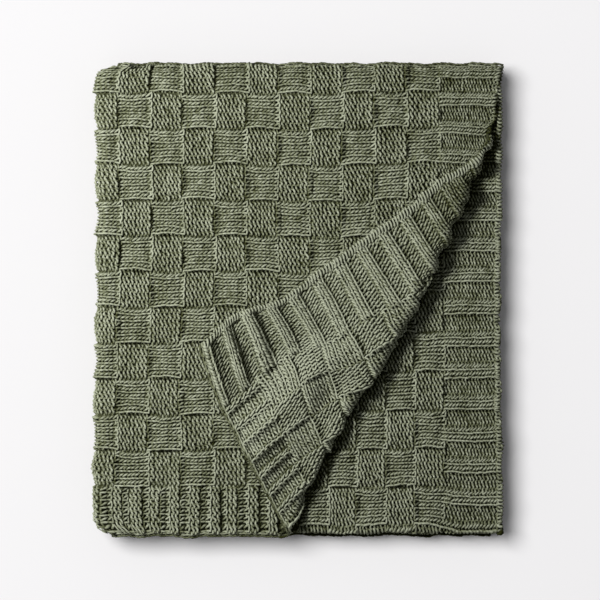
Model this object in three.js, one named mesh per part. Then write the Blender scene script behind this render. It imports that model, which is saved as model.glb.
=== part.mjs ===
import * as THREE from 'three';

// Knit throw blanket. One cloth, folded in three across its width, then back and forth in four along
// its length, with the near corner of the top ply turned back over itself.
// Millimetres, +Z up. The origin lies under the middle of the packet.

// The packet as it lies
const packetLength = 372.6;       // X, from the left folds to the right ends
const packetWidth = 430.6;        // Y, from the near folds to the far folds
const clothThickness = 3.0;
const layerPitch = 3.4;           // a ply and the air above it
const pliesAcross = 3;            // plies from folding the width in three
const panelsAlong = 4;            // panels from folding the length in four
const rightFoldInset = 1.2;       // the hidden right fold stays behind the free ends
const sideTurnSteps = 6;          // facets round a left or right fold
const edgeTurnSteps = 4;          // facets round a near or far fold

// The knitting: a check is 8 courses by 5 wales, and the ends and sides have ribbed borders
const reliefHeight = 0.9;         // how far a check or rib stands out of the cloth
const stepWidth = 2.4;            // the slope between one check and the next
const reliefFade = 4;             // the relief dies away before a ply goes out of sight
const ribPeriod = 26.9;           // two knit wales and two purl wales of the end border
const weltPeriod = 17.5;          // courses of the side border
const sideBorder = 40.7;
const topGauge = { endBorder: 58.5, column: 29.4, firstRow: sideBorder, row: 32.9, rowIndex: 0 };
const underGauge = { endBorder: 53.4, column: 26.7, firstRow: 679.2, row: 34.8, rowIndex: 20 };

// The corner that is turned back, rolled round a slanted crease
const creaseStart = { x: -14.0, y: -215.3 };   // on the near selvedge of the top ply
const creaseEnd = { x: 186.3, y: 182.0 };      // on its right end
const restAngle = 24 * Math.PI / 180;          // slope at which the roll comes down onto the top ply
const restGap = clothThickness + reliefHeight + 0.6;
// along: place on the crease. lift: where the cloth leaves the ply below. radius: of the roll.
// reach: how full the cloth lies past the roll. slide: how far the knitting shears along the crease.
const creaseShape = [
  { along: -40, lift: 1.0, radius: 4.0, reach: 0.75, slide: 0.00 },
  { along: 60, lift: -3.0, radius: 4.0, reach: 0.80, slide: 0.12 },
  { along: 120, lift: -0.5, radius: 5.0, reach: 0.84, slide: 0.24 },
  { along: 180, lift: 5.0, radius: 6.5, reach: 0.93, slide: 0.13 },
  { along: 240, lift: 9.0, radius: 8.0, reach: 1.05, slide: 0.17 },
  { along: 300, lift: 5.5, radius: 8.0, reach: 1.05, slide: 0.19 },
  { along: 360, lift: 3.0, radius: 7.0, reach: 1.00, slide: 0.23 },
  { along: 450, lift: -1.0, radius: 4.0, reach: 1.00, slide: 0.25 },
];
const creaseCrossSpacing = 38;    // creases that follow the roll's changing size
const rollMargin = 4;             // flat cloth beside the roll that follows it
const baredStrip = 30;            // of the under ply, on which the relief comes up beside the roll
const rollSteps = 8;              // creases round the roll
const restSteps = 4;              // creases where it comes down
const restSpacing = 15;

// How the pile has settled
const cornerRadius = 9.0;         // the left corners, where a fold is folded again
const cornerReach = 60.0;
const edgeWander = 0.9;           // slow waviness of the left and right sides
const edgeWave = 165;
const edgeWaveSteps = 4;          // facets of that waviness on each ply
const topFullness = 0.5;          // slow rise and fall of the top
const topWave = 290;
const endDrawIn = 1.6;            // the top ply's free end lies a little short of the others
const endDrawReach = 45;

const halfThickness = clothThickness / 2;
const bundle = pliesAcross * layerPitch;
const foldReach = bundle - layerPitch / 2 + halfThickness;
const edgeReach = layerPitch / 2 + halfThickness;
const right = packetLength / 2;
const near = -packetWidth / 2;
const far = packetWidth / 2;
const groundGap = (layerPitch - clothThickness) / 2;

// Where each ply starts, turns and ends
const leftTurn = -right + foldReach;
const rightTurn = right - foldReach - rightFoldInset;
const lengthwiseTurns = [right, leftTurn, rightTurn, leftTurn, right];
const crosswiseTurns = [near, far - edgeReach, near + edgeReach, far];

function runLengths(turns, thickness) {
  const turnLength = Math.PI * thickness / 2;
  const marks = [0];
  for (let i = 1; i < turns.length; i += 1) {
    const last = marks[marks.length - 1];
    const run = Math.abs(turns[i] - turns[i - 1]);
    marks.push(last + run);
    if (i < turns.length - 1) marks.push(last + run + turnLength);
  }
  return marks;
}

// Stations on the flat cloth: run, turn, run, turn and so on
const lengthMarks = runLengths(lengthwiseTurns, bundle);
const widthMarks = runLengths(crosswiseTurns, layerPitch);
const flatLength = lengthMarks[lengthMarks.length - 1];
const flatWidth = widthMarks[widthMarks.length - 1];

// Folds a strip back and forth. offset is the height in the strip, counted from its lower side.
function backAndForth(station, offset, thickness, turns) {
  const turnLength = Math.PI * thickness / 2;
  const runs = turns.length - 1;
  let rest = station;
  for (let i = 0; i < runs; i += 1) {
    const along = Math.sign(turns[i + 1] - turns[i]);
    const run = Math.abs(turns[i + 1] - turns[i]);
    const base = (runs - 1 - i) * thickness;
    const over = i % 2 === 0 ? offset : thickness - offset;
    if (rest <= run || i === runs - 1) {
      return { across: turns[i] + along * rest, height: base + over };
    }
    rest -= run;
    if (rest < turnLength) {
      const angle = rest / (thickness / 2);
      return {
        across: turns[i + 1] + along * over * Math.sin(angle),
        height: base + over * Math.cos(angle),
      };
    }
    rest -= turnLength;
  }
  return { across: turns[runs], height: 0 };
}

// The crease of the turned corner
const creaseLength = Math.hypot(creaseEnd.x - creaseStart.x, creaseEnd.y - creaseStart.y);
const creaseX = (creaseEnd.x - creaseStart.x) / creaseLength;
const creaseY = (creaseEnd.y - creaseStart.y) / creaseLength;

function toCrease(x, y) {
  const dx = x - creaseStart.x;
  const dy = y - creaseStart.y;
  return { along: dx * creaseX + dy * creaseY, past: dx * creaseY - dy * creaseX };
}

function fromCrease(along, past) {
  return {
    x: creaseStart.x + along * creaseX + past * creaseY,
    y: creaseStart.y + along * creaseY - past * creaseX,
  };
}

function ease(t) {
  const k = Math.min(1, Math.max(0, t));
  return k * k * (3 - 2 * k);
}

function creaseAt(along) {
  let i = 0;
  while (i < creaseShape.length - 2 && along > creaseShape[i + 1].along) i += 1;
  const a = creaseShape[i];
  const b = creaseShape[i + 1];
  const t = ease((along - a.along) / (b.along - a.along));
  const mix = (name) => a[name] + (b[name] - a[name]) * t;
  return { lift: mix('lift'), radius: mix('radius'), reach: mix('reach'), slide: mix('slide') };
}

// Section across the roll: up and over in an arc, down the other way, then flat on the ply below
function rollSection(arc, radius) {
  const turn = Math.PI + restAngle;
  const fall = 1 - Math.cos(restAngle);
  const settleRadius = (radius * (1 + Math.cos(restAngle)) - restGap) / fall;
  const rollArc = radius * turn;
  if (arc < rollArc) {
    const angle = arc / radius;
    return { past: radius * Math.sin(angle), height: radius * (1 - Math.cos(angle)), angle };
  }
  const settled = Math.min((arc - rollArc) / settleRadius, restAngle);
  const flat = Math.max(0, arc - rollArc - settleRadius * restAngle);
  const slope = restAngle - settled;
  return {
    past: -radius * Math.sin(restAngle) + settleRadius * (Math.sin(slope) - Math.sin(restAngle)) - flat,
    height: radius * (1 + Math.cos(restAngle)) - settleRadius * (Math.cos(slope) - Math.cos(restAngle)),
    angle: Math.PI + slope,
  };
}

// Turns a point of the top ply back over the crease. level is the ply's middle, offset the face's side.
function turnBack(x, y, level, offset) {
  const flat = toCrease(x, y);
  const shape = creaseAt(flat.along);
  const arc = flat.past - shape.lift;
  if (arc <= 0) return { x, y, z: level + offset };
  const section = rollSection(arc, shape.radius);
  const back = Math.max(0, -section.past);
  const past = section.past < 0 ? section.past * shape.reach : section.past;
  const side = past - offset * Math.sin(section.angle);
  const spot = fromCrease(flat.along + shape.slide * back, shape.lift + side);
  return { x: spot.x, y: spot.y, z: level + section.height + offset * Math.cos(section.angle) };
}

// Rounds the twice-folded corners and lets the sides wander a little
function settle(point) {
  const { x, y, z } = point;
  const corner = Math.min(1, Math.max(0, (Math.abs(y) - far + cornerRadius) / cornerRadius));
  const leftness = ease((leftTurn + cornerReach - x) / cornerReach);
  const sideness = Math.abs(x) / right;
  const pull = cornerRadius * (1 - Math.sqrt(1 - 0.98 * corner * corner)) * leftness;
  const wander = edgeWander * Math.sin(2 * Math.PI * y / edgeWave + 0.7) * sideness ** 3;
  return new THREE.Vector3(x + pull + wander, y, z);
}

const onTopPly = (s, v) => s < lengthMarks[1] && v < widthMarks[1];
const onTopRoll = (s, v) => s < lengthMarks[2] && v < widthMarks[2];
const onUnderPly = (s, v) => s < lengthMarks[1] && v > widthMarks[2] && v < widthMarks[3];

// How far a station lies past the crease, seen from above
function pastCrease(s, v) {
  const y = backAndForth(v, layerPitch / 2, layerPitch, crosswiseTurns).across;
  const flat = toCrease(right - s, y);
  return flat.past - creaseAt(flat.along).lift;
}

const onTurnedCorner = (s, v) => onTopPly(s, v) && pastCrease(s, v) > 0;
const isBared = (s, v) => onUnderPly(s, v) && pastCrease(s, v) > 0;

// Distance of the cloth along the outermost ply, which takes a longer way round a left fold
function lengthOnTop(s) {
  const inTurn = Math.max(0, s - lengthMarks[1]);
  return s + inTurn * ((bundle - layerPitch / 2) / (bundle / 2) - 1);
}

// Basket relief: a knit check is high at its near and far edges, a purl check at its two ends
function checkRelief(u, v, gauge) {
  const column = (u - gauge.endBorder) / gauge.column;
  const row = gauge.rowIndex + (v - gauge.firstRow) / gauge.row;
  const knit = (Math.floor(column) + Math.floor(row)) % 2 !== 0;
  const acrossCheck = 2 * (column - Math.floor(column)) - 1;
  const alongCheck = 2 * (row - Math.floor(row)) - 1;
  const saddle = alongCheck ** 2 - acrossCheck ** 2;
  return reliefHeight * (knit ? saddle : -saddle);
}

function relief(s, v, gauge) {
  const u = lengthOnTop(s);
  const slow = topFullness * Math.sin(2 * Math.PI * u / topWave) * Math.cos(2 * Math.PI * v / topWave);
  if (u < gauge.endBorder) return slow + reliefHeight * Math.cos(2 * Math.PI * v / ribPeriod);
  if (v < sideBorder) return slow + reliefHeight * Math.cos(2 * Math.PI * u / weltPeriod);
  return slow + checkRelief(u, v, gauge);
}

// Relief stands only on faces that show, and dies away where a ply goes under another
function showingRelief(s, v, side) {
  if (side > 0 && onTopRoll(s, v) && !onTurnedCorner(s, v)) {
    const fromEnd = Math.min(lengthMarks[2] - s, widthMarks[2] - v);
    return relief(s, v, topGauge) * ease(fromEnd / reliefFade);
  }
  if (side < 0 && onTurnedCorner(s, v)) {
    return relief(s, v, topGauge) * ease(pastCrease(s, v) / (2 * reliefFade));
  }
  if (side < 0 && isBared(s, v)) {
    return relief(s, v, underGauge) * ease((pastCrease(s, v) - reliefFade) / baredStrip);
  }
  return 0;
}

// A station on the flat cloth, on its front (side 1) or back (side -1), put where the folds take it
function place(s, v, side) {
  const offset = side * halfThickness + showingRelief(s, v, side);
  const across = backAndForth(v, layerPitch / 2 + offset, layerPitch, crosswiseTurns);
  const along = backAndForth(s, across.height, bundle, lengthwiseTurns);
  const point = { x: along.across, y: across.across, z: along.height };
  if (!onTopPly(s, v)) return settle({ ...point, z: point.z - groundGap });
  const drawIn = endDrawIn * (1 - ease(s / endDrawReach));
  const level = point.z - offset;
  const turned = turnBack(point.x - drawIn, point.y, level, offset);
  return settle({ ...turned, z: turned.z - groundGap });
}

// The flat cloth is divided into cells by creases. A crease is a line a * s + b * v = c.
const stations = [];
const stationGrid = new Map();
const gridStep = 0.05;
const snap = 0.3;

function addStation(s, v) {
  const i = Math.round(s / gridStep);
  const j = Math.round(v / gridStep);
  for (let di = -1; di <= 1; di += 1) {
    for (let dj = -1; dj <= 1; dj += 1) {
      const known = stationGrid.get(`${i + di},${j + dj}`);
      if (known !== undefined) return known;
    }
  }
  stations.push([s, v]);
  stationGrid.set(`${i},${j}`, stations.length - 1);
  return stations.length - 1;
}

function middle(cell) {
  const sum = cell.reduce((total, i) => [total[0] + stations[i][0], total[1] + stations[i][1]], [0, 0]);
  return [sum[0] / cell.length, sum[1] / cell.length];
}

function divide(cells, { a, b, c, within }) {
  const divided = [];
  for (const cell of cells) {
    const distances = cell.map((i) => {
      const d = a * stations[i][0] + b * stations[i][1] - c;
      return Math.abs(d) < snap ? 0 : d;
    });
    const oneSided = distances.every((d) => d >= 0) || distances.every((d) => d <= 0);
    if (oneSided || (within && !within(...middle(cell)))) {
      divided.push(cell);
      continue;
    }
    const above = [];
    const below = [];
    cell.forEach((i, k) => {
      const next = (k + 1) % cell.length;
      const d = distances[k];
      const e = distances[next];
      if (d >= 0) above.push(i);
      if (d <= 0) below.push(i);
      if (d * e < 0) {
        const t = d / (d - e);
        const [s0, v0] = stations[i];
        const [s1, v1] = stations[cell[next]];
        const cut = addStation(s0 + (s1 - s0) * t, v0 + (v1 - v0) * t);
        above.push(cut);
        below.push(cut);
      }
    });
    divided.push(above, below);
  }
  return divided;
}

function span(from, to, steps) {
  return Array.from({ length: steps + 1 }, (unused, i) => from + (to - from) * i / steps);
}

const inSideTurn = (s) => lengthMarks.findIndex((mark) => s < mark) % 2 === 0;
const nearRoll = (s, v) => onTopPly(s, v) && toCrease(right - s, near + v).past > -rollMargin;

// Creases of the folds, on both faces
function foldCreases() {
  const creases = [];
  for (let i = 1; i < lengthMarks.length - 1; i += 2) {
    for (const c of span(lengthMarks[i], lengthMarks[i + 1], sideTurnSteps)) creases.push({ a: 1, b: 0, c });
  }
  for (let i = 1; i < widthMarks.length - 1; i += 2) {
    for (const c of span(widthMarks[i], widthMarks[i + 1], edgeTurnSteps)) creases.push({ a: 0, b: 1, c });
  }
  const bends = [
    near + edgeReach,
    ...span(near + cornerRadius, far - cornerRadius, edgeWaveSteps),
    far - edgeReach,
  ];
  for (const y of bends) {
    creases.push({ a: 0, b: 1, c: y - near, within: inSideTurn });
    creases.push({ a: 0, b: 1, c: widthMarks[2] + crosswiseTurns[1] - y, within: inSideTurn });
    creases.push({ a: 0, b: 1, c: widthMarks[4] + y - crosswiseTurns[2], within: inSideTurn });
  }
  return creases;
}

// Creases along the roll of the turned corner. On the flat cloth they run slanted, as x = right - s.
function rollCreases() {
  const offset = (right - creaseStart.x) * creaseY - (near - creaseStart.y) * creaseX;
  const widest = Math.max(...creaseShape.map((row) => row.radius));
  const rollEnd = widest * (Math.PI + restAngle);
  const distances = [
    ...span(-rollMargin, rollEnd, rollSteps),
    ...span(rollEnd + restSpacing, rollEnd + restSpacing * restSteps, restSteps - 1),
  ];
  return distances.map((past) => ({ a: creaseY, b: creaseX, c: offset - past, within: onTopPly }));
}

// Creases across the roll, which let it change its size along the way
function crossCreases() {
  const count = Math.floor(creaseLength / creaseCrossSpacing);
  const start = (right - creaseStart.x) * creaseX + (near - creaseStart.y) * creaseY;
  return span(0, creaseLength, count).map((along) => (
    { a: -creaseX, b: creaseY, c: along - start, within: nearRoll }
  ));
}

// Creases on the under ply along the place where the top ply leaves it
function baredCreases() {
  const shift = crosswiseTurns[1] + widthMarks[2];
  const start = (right - creaseStart.x) * creaseY - (shift - creaseStart.y) * creaseX;
  return span(0, baredStrip, 2).map((past) => (
    { a: -creaseY, b: creaseX, c: past - start, within: onUnderPly }
  ));
}

// Creases round the checks, ribs and welts of a face
function reliefCreases(within, gauge) {
  const creases = [];
  const onTop = gauge === topGauge;
  const toStation = (u) => {
    const inTurn = Math.max(0, u - lengthMarks[1]);
    return u - inTurn * (1 - bundle / 2 / (bundle - layerPitch / 2));
  };
  const inChecks = (s, v) => within(s, v) && s > gauge.endBorder && v > sideBorder;
  const inRibs = (s, v) => within(s, v) && s < gauge.endBorder;
  const inWelts = (s, v) => within(s, v) && s > gauge.endBorder && v < sideBorder;
  creases.push({ a: 1, b: 0, c: gauge.endBorder, within });
  if (onTop) creases.push({ a: 0, b: 1, c: sideBorder, within });
  const checkLines = (start, pitch, end) => {
    const lines = [];
    for (let edge = start; edge < end; edge += pitch) {
      lines.push(edge - stepWidth / 2, edge + stepWidth / 2, edge + pitch / 2);
    }
    return lines;
  };
  for (const u of checkLines(gauge.endBorder, gauge.column, flatLength / panelsAlong + 2 * bundle)) {
    creases.push({ a: 1, b: 0, c: toStation(u), within: inChecks });
  }
  const rows = onTop ? [sideBorder, widthMarks[2]] : [gauge.firstRow, widthMarks[3]];
  for (const v of checkLines(rows[0], gauge.row, rows[1])) {
    creases.push({ a: 0, b: 1, c: v, within: inChecks });
  }
  for (let v = ribPeriod / 4; v < flatWidth; v += ribPeriod / 4) {
    creases.push({ a: 0, b: 1, c: v, within: inRibs });
  }
  if (onTop) {
    for (let u = weltPeriod / 4; u < flatLength / panelsAlong; u += weltPeriod / 4) {
      creases.push({ a: 1, b: 0, c: u, within: inWelts });
    }
  }
  return creases;
}

const wholeCloth = [
  addStation(0, 0),
  addStation(flatLength, 0),
  addStation(flatLength, flatWidth),
  addStation(0, flatWidth),
];
const shared = [...foldCreases(), ...rollCreases(), ...crossCreases()].reduce(divide, [wholeCloth]);
const frontShowing = (s, v) => onTopRoll(s, v) && !onTurnedCorner(s, v);
const frontCreases = reliefCreases(frontShowing, topGauge);
const backCreases = [
  ...baredCreases(),
  ...reliefCreases(onTurnedCorner, topGauge),
  ...reliefCreases(isBared, underGauge),
];
const frontCells = frontCreases.reduce(divide, shared);
const backCells = backCreases.reduce(divide, shared);

// Stations on the rim are shared by both faces, so that the edge walls meet them
const onRim = ([s, v]) => Math.min(s, v, flatLength - s, flatWidth - v) < 1e-6;
const usedStations = (cells) => new Set(cells.flat());
const rim = [...usedStations([...frontCells, ...backCells])].filter((i) => onRim(stations[i]));

// Stations of other cells that lie on the edge from one station to the next, in order
function between(i, j, candidates) {
  const [s0, v0] = stations[i];
  const [s1, v1] = stations[j];
  const length = Math.hypot(s1 - s0, v1 - v0);
  const found = [];
  for (const k of candidates) {
    const ds = stations[k][0] - s0;
    const dv = stations[k][1] - v0;
    const along = (ds * (s1 - s0) + dv * (v1 - v0)) / length;
    const aside = (ds * (v1 - v0) - dv * (s1 - s0)) / length;
    if (along > 1e-4 && along < length - 1e-4 && Math.abs(aside) < 1e-4) found.push([along, k]);
  }
  return found.sort((p, q) => p[0] - q[0]).map((entry) => entry[1]);
}

// Rounding apart, a station is one corner on each face
const positions = [];
const vertexOf = new Map();

function vertex(s, v, side) {
  const key = `${s.toFixed(4)},${v.toFixed(4)},${side}`;
  if (!vertexOf.has(key)) {
    positions.push(...place(s, v, side).toArray());
    vertexOf.set(key, positions.length / 3 - 1);
  }
  return vertexOf.get(key);
}

const triangles = [];

function addTriangle(i, j, k, side) {
  triangles.push(...(side > 0 ? [k, j, i] : [i, j, k]));
}

// A cell is a fan from one corner, or from its middle where neighbours meet it along an edge
function addFace(cells, side) {
  const candidates = [...new Set([...usedStations(cells), ...rim])];
  for (const cell of cells) {
    const outline = [];
    cell.forEach((i, k) => {
      outline.push(i, ...between(i, cell[(k + 1) % cell.length], candidates));
    });
    const corners = outline.map((i) => vertex(...stations[i], side));
    if (outline.length === cell.length) {
      for (let k = 1; k < corners.length - 1; k += 1) {
        addTriangle(corners[0], corners[k], corners[k + 1], side);
      }
      continue;
    }
    const centre = vertex(...middle(cell), side);
    corners.forEach((corner, k) => addTriangle(centre, corner, corners[(k + 1) % corners.length], side));
  }
}

// Walls along the four edges of the cloth join its two faces
function addWalls() {
  wholeCloth.forEach((i, k) => {
    const j = wholeCloth[(k + 1) % wholeCloth.length];
    const edge = [i, ...between(i, j, rim), j];
    for (let m = 0; m < edge.length - 1; m += 1) {
      const a = vertex(...stations[edge[m]], -1);
      const b = vertex(...stations[edge[m + 1]], -1);
      const c = vertex(...stations[edge[m + 1]], 1);
      const d = vertex(...stations[edge[m]], 1);
      triangles.push(b, a, d, b, d, c);
    }
  });
}

addFace(frontCells, 1);
addFace(backCells, -1);
addWalls();

const geometry = new THREE.BufferGeometry();
geometry.setAttribute('position', new THREE.Float32BufferAttribute(positions, 3));
geometry.setIndex(triangles);

// The origin goes under the middle of the packet's box
geometry.computeBoundingBox();
const box = geometry.boundingBox;
geometry.translate(-(box.min.x + box.max.x) / 2, -(box.min.y + box.max.y) / 2, -box.min.z);
geometry.computeVertexNormals();

const knit = new THREE.MeshStandardMaterial({ color: 0x74785f, roughness: 0.95, metalness: 0 });
const throwBlanket = new THREE.Mesh(geometry, knit);
throwBlanket.name = 'throw';

const group = new THREE.Group();
group.add(throwBlanket);

export default group;
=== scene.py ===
import math

import bpy
import numpy as np
from bpy.props import FloatProperty, FloatVectorProperty, IntProperty, PointerProperty
from bpy.types import Operator, Panel, PropertyGroup
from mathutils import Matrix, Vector


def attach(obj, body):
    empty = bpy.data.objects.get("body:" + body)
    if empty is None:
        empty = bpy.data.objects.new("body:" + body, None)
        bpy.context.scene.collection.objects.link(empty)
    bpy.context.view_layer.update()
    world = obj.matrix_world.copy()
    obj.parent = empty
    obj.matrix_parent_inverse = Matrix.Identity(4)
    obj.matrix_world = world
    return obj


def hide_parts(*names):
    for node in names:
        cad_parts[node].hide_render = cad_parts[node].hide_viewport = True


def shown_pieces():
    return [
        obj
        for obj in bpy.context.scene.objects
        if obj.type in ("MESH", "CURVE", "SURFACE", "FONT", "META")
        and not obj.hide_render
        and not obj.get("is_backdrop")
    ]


# A knit throw blanket, folded in three across and in four along, with a corner of its top ply
# turned back. The flat cloth has a station s along it, from the free end, and v across it, from the
# free selvedge. The knitting counts u instead of s, along the outermost ply. Wales run along the
# cloth and courses run across it. Every length is in metres. A stretch is a pair of places: something
# grows softly from nothing at the first place to its full amount at the second.

bl_info = {
    "name": "Folded Knit Throw",
    "version": (1, 0, 0),
    "blender": (4, 5, 0),
    "location": "3D View > Sidebar > Throw",
    "description": "Knits a folded throw blanket, stitch by stitch",
    "category": "Add Mesh",
}

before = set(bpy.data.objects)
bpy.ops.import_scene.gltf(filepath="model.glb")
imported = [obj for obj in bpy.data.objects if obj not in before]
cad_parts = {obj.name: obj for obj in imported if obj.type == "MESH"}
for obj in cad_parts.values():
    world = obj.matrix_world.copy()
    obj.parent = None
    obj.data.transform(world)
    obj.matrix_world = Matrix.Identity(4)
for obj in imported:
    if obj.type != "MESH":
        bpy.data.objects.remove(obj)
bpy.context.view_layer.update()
MM = 0.001

# The packet as it lies
PACKET_LENGTH = 372.6 * MM
PACKET_WIDTH = 430.6 * MM
CLOTH_THICKNESS = 3.0 * MM
LAYER_PITCH = 3.4 * MM
PLIES_ACROSS = 3
RIGHT_FOLD_INSET = 1.2 * MM
GROUND_GAP = (LAYER_PITCH - CLOTH_THICKNESS) / 2

# Relief of the knitting, and the width of the step between two blocks. The top ply is puffed up all
# over and a little fuller in places. Purl blocks swell sideways. Ribs are deeper at the corner's tip.
CHECK_RELIEF = 2.9 * MM
RIB_RELIEF = 2.6 * MM
WELT_RELIEF = 2.3 * MM
STEP_WIDTH = 2.4 * MM
PUFF = 0.9 * MM
PURL_SWELL = 1.2 * MM
TIP_DEEPENING = 1.0
TIP_RIBS = (130 * MM, 70 * MM)
TIP_COURSES = (75 * MM, 25 * MM)
TOP_FULLNESS = 0.5 * MM
TOP_WAVE = 290 * MM
RELIEF_FADE = 4 * MM

# Ribs: the station of a purl rib in the middle, and the pitch of the ribs before it and after it.
# One purl rib of the top ply is twice as broad.
RIB_WALES = 4
KNIT_RIB_WALES = (1, 2)
TOP_RIBS = (185.5 * MM, 26.5 * MM, 26.32 * MM)
BROAD_RIB = 297.3 * MM
BROAD_RIB_WALE = 45
UNDER_RIBS = (624.7 * MM, 27.5 * MM, 29.5 * MM)
UNDER_RIB_WALE = -7

# Side borders of broad purl welts and narrow knit valleys. The stitches are knit where the wave of
# the welts is below a level.
SIDE_BORDER = 40.7 * MM
SIDE_WALES = 6
WELT_PERIOD = 17.5 * MM
WELT_SHIFT = 1.5 * MM
WELT_KNIT_BELOW = -0.1

# Checks of the top ply, past its ribbed border
CHECK_COURSES = 8
CHECK_WALES = 5
TOP_BORDER = 58.5 * MM
TOP_BORDER_COURSES = 18
TOP_COLUMN = 29.4 * MM
TOP_ROW = 32.9 * MM
TOP_ROWS = 12
TOP_WALES = 66

# Checks of the ply below, which lies at another tension. Its wales follow the ribs in the border and
# the checks past it, with a blend between.
UNDER_BORDER = 53.4 * MM
UNDER_BORDER_COURSES = 16
UNDER_COLUMN = 26.7 * MM
UNDER_ROW = 35.3 * MM
UNDER_FIRST_ROW = 678.5 * MM
UNDER_ROW_INDEX = 20
UNDER_COURSES = 118
UNDER_FIRST_WALE = -36
UNDER_WALES = 63
UNDER_BLEND = 30 * MM

# The top ply's stitches are split into bands of courses, and each band is a piece
TOP_BANDS = 4

# The turned corner
CREASE_START = (-14.0 * MM, -215.3 * MM)
CREASE_END = (186.3 * MM, 182.0 * MM)
REST_ANGLE = math.radians(14)
REST_GAP = CLOTH_THICKNESS + 3.5 * MM
# Millimetres along the crease, then: where the cloth leaves the ply below, radius of the roll, how
# full the cloth lies past the roll, how far the knitting shears along the crease
CREASE_SHAPE = (
    (-40, -1.0, 6.0, 0.78, 0.00),
    (60, -5.5, 6.0, 0.84, 0.12),
    (120, -4.5, 7.0, 0.87, 0.24),
    (180, 3.0, 8.5, 0.96, 0.13),
    (240, 5.0, 10.0, 1.08, 0.17),
    (300, 3.5, 10.0, 1.08, 0.19),
    (360, 1.5, 8.5, 1.04, 0.23),
    (450, -2.0, 5.0, 1.03, 0.25),
)

# How far past the crease the back of the cloth comes up: on the roll, and where the corner is so
# narrow that it only rises. The stitches themselves show their backs a little later.
BACK_FROM = -3 * MM
LOW_BACK_FROM = 5 * MM
LOW_CORNER = (28 * MM, 18 * MM)
TURN_BLEND = (-3 * MM, 7 * MM)
BACK_STITCHES_FROM = 3 * MM

# The knitting is pushed together near the tip
CORNER_GATHER = 6.0 * MM
GATHER_ACROSS = (8 * MM, 76 * MM)
GATHER_ALONG = (80 * MM, 50 * MM)

# A soft ridge across the corner, wider on its far side, with a dip near which both sides are steep
HUMP_HEIGHT = 11.5 * MM
HUMP_STATION = 110 * MM
HUMP_SKEW = -0.28
HUMP_WIDTH = 20 * MM
HUMP_FAR_SIDE = 2.2
HUMP_NEAR_END = (-18 * MM, 14 * MM)
HUMP_FAR_END = (160 * MM, 80 * MM)
HUMP_DIP = (108 * MM, 97 * MM)
DIP_DEPTH = 4.0 * MM
DIP_SIZE = (14 * MM, 15 * MM)
STEEP_SIZE = 28 * MM

# Buckles at the tip, between grooves that cross its first courses: where each groove starts on the
# flat cloth, in mm, and its slope
TIP_GROOVES = ((-3.0, 0.00), (16.5, 0.13), (37.0, 0.17), (63.0, -0.12))
TIP_RISE = 5.0 * MM
GROOVE_WIDTH = 5.5 * MM
GROOVE_PIVOT = 30 * MM
TIP_ALONG = (70 * MM, 42 * MM)
TIP_NEAR_END = (-6 * MM, 4 * MM)
TIP_FAR_END = (82 * MM, 66 * MM)

# The part of the ply below that the corner bares, past the crease, and the shade beside the roll.
# Its stitches start a lap after the far fold, and those of the near fold start a lap before it.
BARED = (-4 * MM, 26 * MM)
BARED_STITCHES_FROM = -10 * MM
ROLL_SHADE = (21 * MM, 9 * MM)
NEAR_FADE = 10 * MM
FOLD_LAP = (6 * MM, 4 * MM)

# Painted light on the turned corner: it fades towards the crease's far end, and a painted highlight lies
# on the side of the ridge that faces the light
CORNER_PAINTED_LIGHT_DROP = 1.8
CORNER_PAINTED_LIGHT_FADE = (190 * MM, 340 * MM)
RIDGE_SHIFT = 15 * MM
RIDGE_WIDTH = 20 * MM
RIDGE_END = (160 * MM, 100 * MM)

# How the pile has settled: round corners at the left, long waves of the sides, and short waves that
# fade inwards by a power
CORNER_RADIUS = 14.0 * MM
CORNER_ARC = 0.98
CORNER_REACH = 60.0 * MM
LEFT_WANDER = (1.6 * MM, 405 * MM, -39.4 * MM)
RIGHT_WANDER = (1.2 * MM, 368 * MM, 80.0 * MM)
EDGE_WANDER = 0.7 * MM
EDGE_WAVES = (71 * MM, 43 * MM, 27 * MM)
EDGE_PHASE = 0.7
SIDE_POWER = 5
END_POWER = 9
EDGE_BAND = 10 * MM
NEAR_SPREAD = 2.0 * MM
FAR_SHRINK = 2.8 * MM
LEFT_SPREAD = 1.0 * MM
RIGHT_SHRINK = 2.8 * MM
RIGHT_BAND = (133 * MM, 186 * MM)

# The free end is drawn in, most of all in a bay where the corner starts to turn back
END_DRAW_IN = 0.8 * MM
END_DRAW_REACH = 65 * MM
END_BAY = 8.0 * MM
BAY_START = (60 * MM, 140 * MM)
BAY_FADE = 70 * MM

# How far the stitches wander, and the lengths of the waves in which they do. A stitch is about so wide.
TOP_WANDER = 1.7 * MM
UNDER_WANDER = 1.3 * MM
WANDER_LENGTHS = (0.31, 0.17, 0.083, 0.041)
SELVEDGE_CALM = 20 * MM
WALE_WIDTH = 6.6 * MM

# The chain of a selvedge, which leans over the edge. A link starts before its own place and reaches
# past the next one, and is narrow where it starts and ends.
LINK_COURSES = 2
LINK_STOPS = 9
LINK_WIDTH = 4.2 * MM
LINK_START = -0.35
LINK_REACH = 1.5
LINK_NECK = 0.45
LINK_DIP = 0.35 * MM
LINK_DRIFT = 0.3 * MM
LINK_TONE = 0.8
LINK_OUTSET = 1.2 * MM
LINK_LEAN = math.radians(35)
LINK_SPREAD = 0.9
LINK_RISE = 0.75

# The wound yarn of a cast-off end, whose turns differ in size and drift in and out
CAST_OFF_TURNS = 390
EDGE_STOPS = 8
EDGE_HALF_WIDTH = 2.3 * MM
EDGE_HALF_HEIGHT = 1.6 * MM
EDGE_INSET = 1.0 * MM
EDGE_SLANT = 0.9 * MM
EDGE_UNEVENNESS = 0.18
EDGE_DRIFT = 0.5 * MM
DRIFT_TURNS = 4
EDGE_TONE = -0.3
CORNER_EDGE_SWELL = 0.3
CORNER_EDGE_TONE = 0.8

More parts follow.
